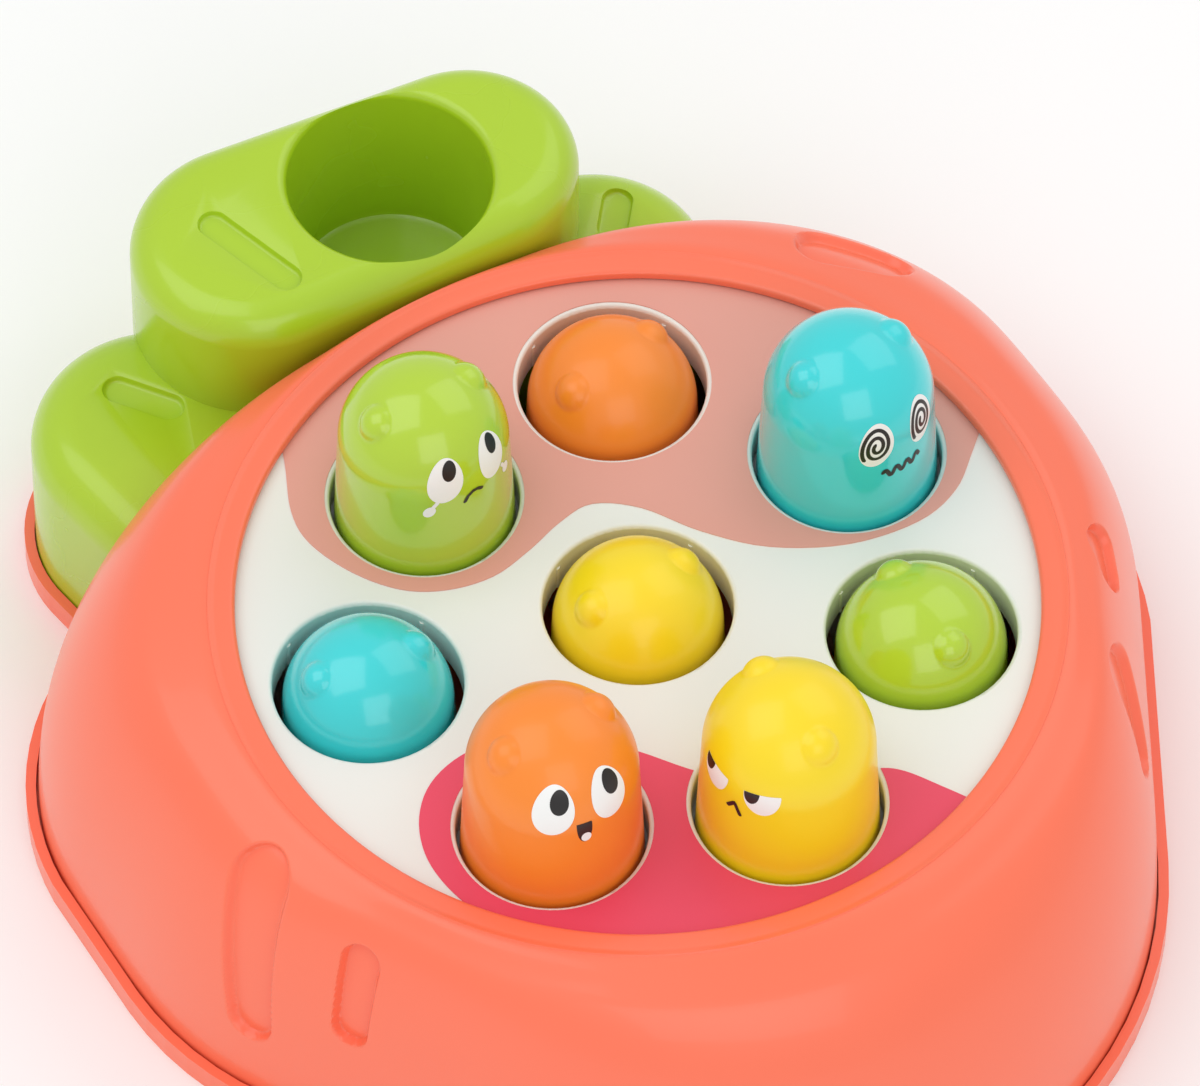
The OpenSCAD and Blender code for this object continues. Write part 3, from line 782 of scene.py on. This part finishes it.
class Face:
    """Flat prints on one cap. Print places are millimetres round and up from the dome's lower edge."""

    def __init__(self, mole):
        self.mole = mole
        self.x, self.y, turn, self.low, face = MOLES[mole]
        self.drop = 0.0 if self.low > RAISED_ABOVE else LOWERED_DROP
        self.front = math.radians(turn - 90 + face)
        self.prints = {"print_white": [], "print_black": []}

    def place(self, across, up, lift):
        """The point of the skin at a print place, lifted off it."""
        a = self.front + across / DOME_R
        up -= self.drop
        if up >= 0:
            e = up / DOME_R
            r = (DOME_R + lift) * math.cos(e)
            z = SKIRT_H + (DOME_R + lift) * math.sin(e)
        else:
            r = DOME_R + lift - up / SKIRT_H * (SKIRT_R - DOME_R)
            z = SKIRT_H + up
        return (self.x + r * math.cos(a), self.y + r * math.sin(a), self.low + z)

    def patch(self, ink, edge, centre, lift):
        """A filled shape inside a closed edge of print places."""
        rings = []
        for k in range(PATCH_ROWS):
            w = 1 - k / PATCH_SPAN
            rings.append([self.place(*between(centre, p, w), lift) for p in edge])
        self.prints[ink].append(loft("print", rings, last_cap=True))

    def oval(self, ink, centre, half, lean=0.0, lift=INK_LIFT):
        """A filled ellipse, leaning by an angle in degrees."""
        turns = [TAU * i / PRINT_POINTS for i in range(PRINT_POINTS)]
        edge = [leaning(centre, half[0] * math.cos(a), half[1] * math.sin(a), lean) for a in turns]
        self.patch(ink, edge, centre, lift)

    def stroke(self, ink, line, width, lift=TOP_INK_LIFT):
        """A line of print with round ends."""
        dense = []
        for p, q in zip(line, line[1:]):
            parts = max(1, round(math.dist(p, q) / STROKE_STEP))
            dense += [between(p, q, j / parts) for j in range(parts)]
        dense.append(line[-1])
        rows = len(dense) - 1
        half = width / 2
        clear_selection()
        bpy.ops.mesh.primitive_grid_add(x_subdivisions=rows, y_subdivisions=2, size=2.0)
        obj = bpy.context.object
        for vertex in obj.data.vertices:
            i = round((vertex.co.x + 1) / 2 * rows)
            side = vertex.co.y
            p, q = dense[max(0, i - 1)], dense[min(rows, i + 1)]
            along = max(1e-6, math.dist(p, q))
            run = min(i, rows - i) * STROKE_STEP / half
            fat = half * math.sqrt(min(1.0, max(STROKE_TIP, run) * (2 - min(1.0, run))))
            u = dense[i][0] - (q[1] - p[1]) / along * fat * side
            v = dense[i][1] + (q[0] - p[0]) / along * fat * side
            vertex.co = Vector(self.place(u, v, lift)) * MM
        self.prints[ink].append(obj)

    def green(self):
        """Tearful face."""
        for side in (-1, 1):
            eye = (side * 7.1, 6.9)
            self.oval("print_white", eye, (4.5, 6.2), 14)
            self.oval("print_black", (eye[0] + 1.3, eye[1] + 2.7), (1.85, 2.7), 14, TOP_INK_LIFT)
            self.stroke("print_white", [(side * 9.2, 1.4), (side * 10.9, -1.2)], 1.0, INK_LIFT)
            self.oval("print_white", (side * 11.3, -2.0), (1.35, 1.9), side * -28)
        mouth = [(-3.0, -1.6), (-2.0, 0.3), (-0.6, 1.3), (0.8, 1.2), (2.3, 0.2)]
        self.stroke("print_black", mouth, 1.0)

    def cyan(self):
        """Dizzy face."""
        half = (4.3, 6.4)
        lean = 12
        start, turns = math.radians(-250), 2.35
        inner, growth = 0.12, 0.74
        for side in (-1, 1):
            eye = (side * 6.8, 4.1)
            self.oval("print_white", eye, half, lean)
            spiral = []
            for k in range(SPIRAL_POINTS):
                w = k / (SPIRAL_POINTS - 1)
                a = start + TAU * turns * w
                r = inner + growth * w
                spiral.append(leaning(eye, half[0] * r * math.cos(a), half[1] * r * math.sin(a), lean))
            self.stroke("print_black", spiral, 0.95)
        shares = [k / WAVE_STEPS for k in range(WAVE_STEPS + 1)]
        wide, high, waves = 10.6, 1.15, 3.6
        mouth = [(-5.6 + wide * w, -6.2 + high * math.sin(TAU * waves * w)) for w in shares]
        self.stroke("print_black", mouth, 1.1)

    def orange(self):
        """Cheerful face."""
        for side in (-1, 1):
            eye = (side * 7.7, 8.7)
            self.oval("print_white", eye, (5.3, 6.7), 9)
            self.oval("print_black", (eye[0] + 1.6, eye[1] + 2.2), (2.5, 3.2), 9, TOP_INK_LIFT)
        mouth = half_moon(-0.5, 4.2, 1.9, 6.4, 0.3, fullness=0.8)
        self.patch("print_black", mouth, (-0.5, 1.6), INK_LIFT)
        self.oval("print_white", (-0.2, -0.6), (1.2, 1.5), 0, TOP_INK_LIFT)

    def yellow(self):
        """Sulky face."""
        for side in (-1, 1):
            eye = (side * 6.9, 5.6)
            slope = side * 0.09
            white = half_moon(0.0, 0.0, 4.6, 6.6, 0.4, slope=slope)
            iris = half_moon(-2.55, 0.0, 1.95, 3.3, 0.4, slope=slope)
            white = [(eye[0] + u, eye[1] + v) for u, v in white]
            iris = [(eye[0] + u, eye[1] + v) for u, v in iris]
            self.patch("print_white", white, (eye[0], eye[1] - 2.2), INK_LIFT)
            self.patch("print_black", iris, (eye[0] - 2.6, eye[1] - 1.2), TOP_INK_LIFT)
        self.stroke("print_black", [(-1.9, -3.2), (0.2, -0.6), (2.0, -4.4)], 1.05)

    def join_prints(self):
        """Joins the prints of each ink and lets them ride the mole."""
        out = Vector((math.cos(self.front), math.sin(self.front), 0))
        for ink, parts in self.prints.items():
            activate(parts[0])
            for part in parts:
                part.select_set(True)
            bpy.ops.object.join()
            obj = bpy.context.object
            obj.name = "face_" + self.mole + ink.replace("print", "")
            shade(obj, 60, outward=False)
            if sum(f.normal.dot(out) * f.area for f in obj.data.polygons if f.area > 0) < 0:
                edit_all(obj)
                bpy.ops.mesh.flip_normals()
                bpy.ops.object.mode_set(mode="OBJECT")
            paint(obj, ink, "mole_" + self.mole)


class TOY_OT_faces(bpy.types.Operator):
    """Print a face on each mole cap"""

    bl_idname = "toy.faces"
    bl_label = "Faces"

    def execute(self, context):
        draw = {"green": Face.green, "cyan": Face.cyan, "orange": Face.orange, "yellow": Face.yellow}
        for mole in MOLES:
            face = Face(mole)
            draw[mole.split("_")[0]](face)
            face.join_prints()
        return {"FINISHED"}


class TOY_OT_frame(bpy.types.Operator):
    """Give the panel, the films, the tray and the mechanism their finishes"""

    bl_idname = "toy.frame"
    bl_label = "Panel, tray and mechanism"

    def execute(self, context):
        for name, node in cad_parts.items():
            kind, word = name.split("_")[:2]
            finish = NODE_FINISHES.get(name) or NODE_FINISHES.get(kind) or "mole_" + word
            node.data.materials.clear()
            node.data.materials.append(finish_of(finish))
        return {"FINISHED"}


class TOY_OT_stage(bpy.types.Operator):
    """Set the floor, the lights and the camera"""

    bl_idname = "toy.stage"
    bl_label = "Stage"

    def floor(self, size):
        """A matt floor that fades to plain white away from the toy."""
        clear_selection()
        bpy.ops.mesh.primitive_plane_add(size=size, location=(0, 0, 0))
        floor = bpy.context.object
        floor.name = "floor"
        material = bpy.data.materials.new("floor")
        g = Graph(material)
        place = g.node("ShaderNodeTexCoord", out=3)
        drift = g.node("ShaderNodeTexNoise", sockets={"Vector": place, "Scale": 3.0})
        matt = g.node(
            "ShaderNodeBsdfPrincipled",
            sockets={
                "Base Color": (0.96, 0.96, 0.96, 1.0),
                "Roughness": 0.9 + 0.05 * (drift - 0.5),
                "Specular IOR Level": 0.1,
            },
        )
        camera_ray = g.node("ShaderNodeLightPath")
        away = g.node("ShaderNodeVectorMath", {"operation": "LENGTH"}, {0: place}, out=1)
        far = g.node(
            "ShaderNodeMapRange",
            {"interpolation_type": "SMOOTHSTEP"},
            {"Value": away, "From Min": FLOOR_FADE[0], "From Max": FLOOR_FADE[1]},
        )
        white = g.node("ShaderNodeEmission", sockets={"Color": (1, 1, 1, 1), "Strength": 1.0})
        both = g.node("ShaderNodeMixShader", sockets={0: far * camera_ray, 1: matt, 2: white})
        g.node("ShaderNodeOutputMaterial", sockets={"Surface": both})
        floor.data.materials.append(material)

    def room(self, scene, strength):
        """Even light from all sides, and plain white where the camera looks past the floor."""
        scene.world = bpy.data.worlds.new("soft_room")
        g = Graph(scene.world)
        camera_ray = g.node("ShaderNodeLightPath")
        glow = g.node("ShaderNodeBackground", sockets={"Color": (1, 1, 1, 1), "Strength": strength})
        white = g.node("ShaderNodeBackground", sockets={"Color": (1, 1, 1, 1), "Strength": 1.0})
        both = g.node("ShaderNodeMixShader", sockets={0: camera_ray, 1: glow, 2: white})
        g.node("ShaderNodeOutputWorld", sockets={"Surface": both})

    def lamp(self, name, place, size, power):
        """A soft square light."""
        clear_selection()
        bpy.ops.object.light_add(type="AREA", location=place)
        lamp = bpy.context.object
        lamp.name = name
        lamp.data.shape = "SQUARE"
        lamp.data.size = size
        lamp.data.energy = power
        lamp.rotation_euler = (Vector(LAMP_AIM) - Vector(place)).to_track_quat("-Z", "Y").to_euler()

    def camera(self, scene):
        """The photograph's view, from far away through a long lens."""
        a, e = math.radians(VIEW_TURN), math.radians(VIEW_LIFT)
        right = Vector((math.cos(a), -math.sin(a), 0))
        up = Vector((math.sin(a) * math.sin(e), math.cos(a) * math.sin(e), math.cos(e)))
        back = Vector((-math.sin(a) * math.cos(e), -math.cos(a) * math.cos(e), math.sin(e)))
        aim = Vector((0, 0, PANEL_Z * MM)) + right * VIEW_RIGHT + up * VIEW_UP
        clear_selection()
        bpy.ops.object.camera_add(location=aim + back * VIEW_DISTANCE)
        camera = bpy.context.object
        camera.name = "camera"
        camera.data.lens = LENS
        camera.data.sensor_width = SENSOR
        camera.data.clip_start = 0.05
        camera.data.clip_end = 50
        camera.rotation_euler = back.to_track_quat("Z", "Y").to_euler()
        scene.camera = camera

    def execute(self, context):
        s = context.scene.toy_stage
        self.floor(s.floor_size)
        self.room(context.scene, s.sky)
        for name, (place, size, share) in LAMPS.items():
            self.lamp(name, place, size, s.key * share)
        self.camera(context.scene)
        context.scene.view_settings.view_transform = "Standard"
        return {"FINISHED"}


class TOY_PT_panel(bpy.types.Panel):
    """Build steps of the toy"""

    bl_idname = "TOY_PT_panel"
    bl_label = "Whack-a-mole toy"
    bl_space_type = "VIEW_3D"
    bl_region_type = "UI"
    bl_category = "Toy"

    def draw(self, context):
        for operator in OPERATORS:
            self.layout.operator(operator.bl_idname)
        for name in SETTINGS:
            group = getattr(context.scene, name)
            for key in group.__annotations__:
                self.layout.prop(group, key)


SETTINGS = {
    "toy_colours": ToyColourSettings,
    "toy_body": ToyBodySettings,
    "toy_caps": ToyCapSettings,
    "toy_stage": ToyStageSettings,
}
OPERATORS = (TOY_OT_body, TOY_OT_leaves, TOY_OT_caps, TOY_OT_faces, TOY_OT_frame, TOY_OT_stage)
CLASSES = (*SETTINGS.values(), *OPERATORS, TOY_PT_panel)


def register():
    for cls in CLASSES:
        bpy.utils.register_class(cls)
    for name, group in SETTINGS.items():
        setattr(bpy.types.Scene, name, bpy.props.PointerProperty(type=group))


def unregister():
    for name in SETTINGS:
        delattr(bpy.types.Scene, name)
    for cls in reversed(CLASSES):
        bpy.utils.unregister_class(cls)


def main():
    register()
    bpy.ops.toy.body()
    bpy.ops.toy.leaves()
    bpy.ops.toy.caps()
    bpy.ops.toy.faces()
    bpy.ops.toy.frame()
    bpy.ops.toy.stage()


if __name__ == "__main__":
    main()
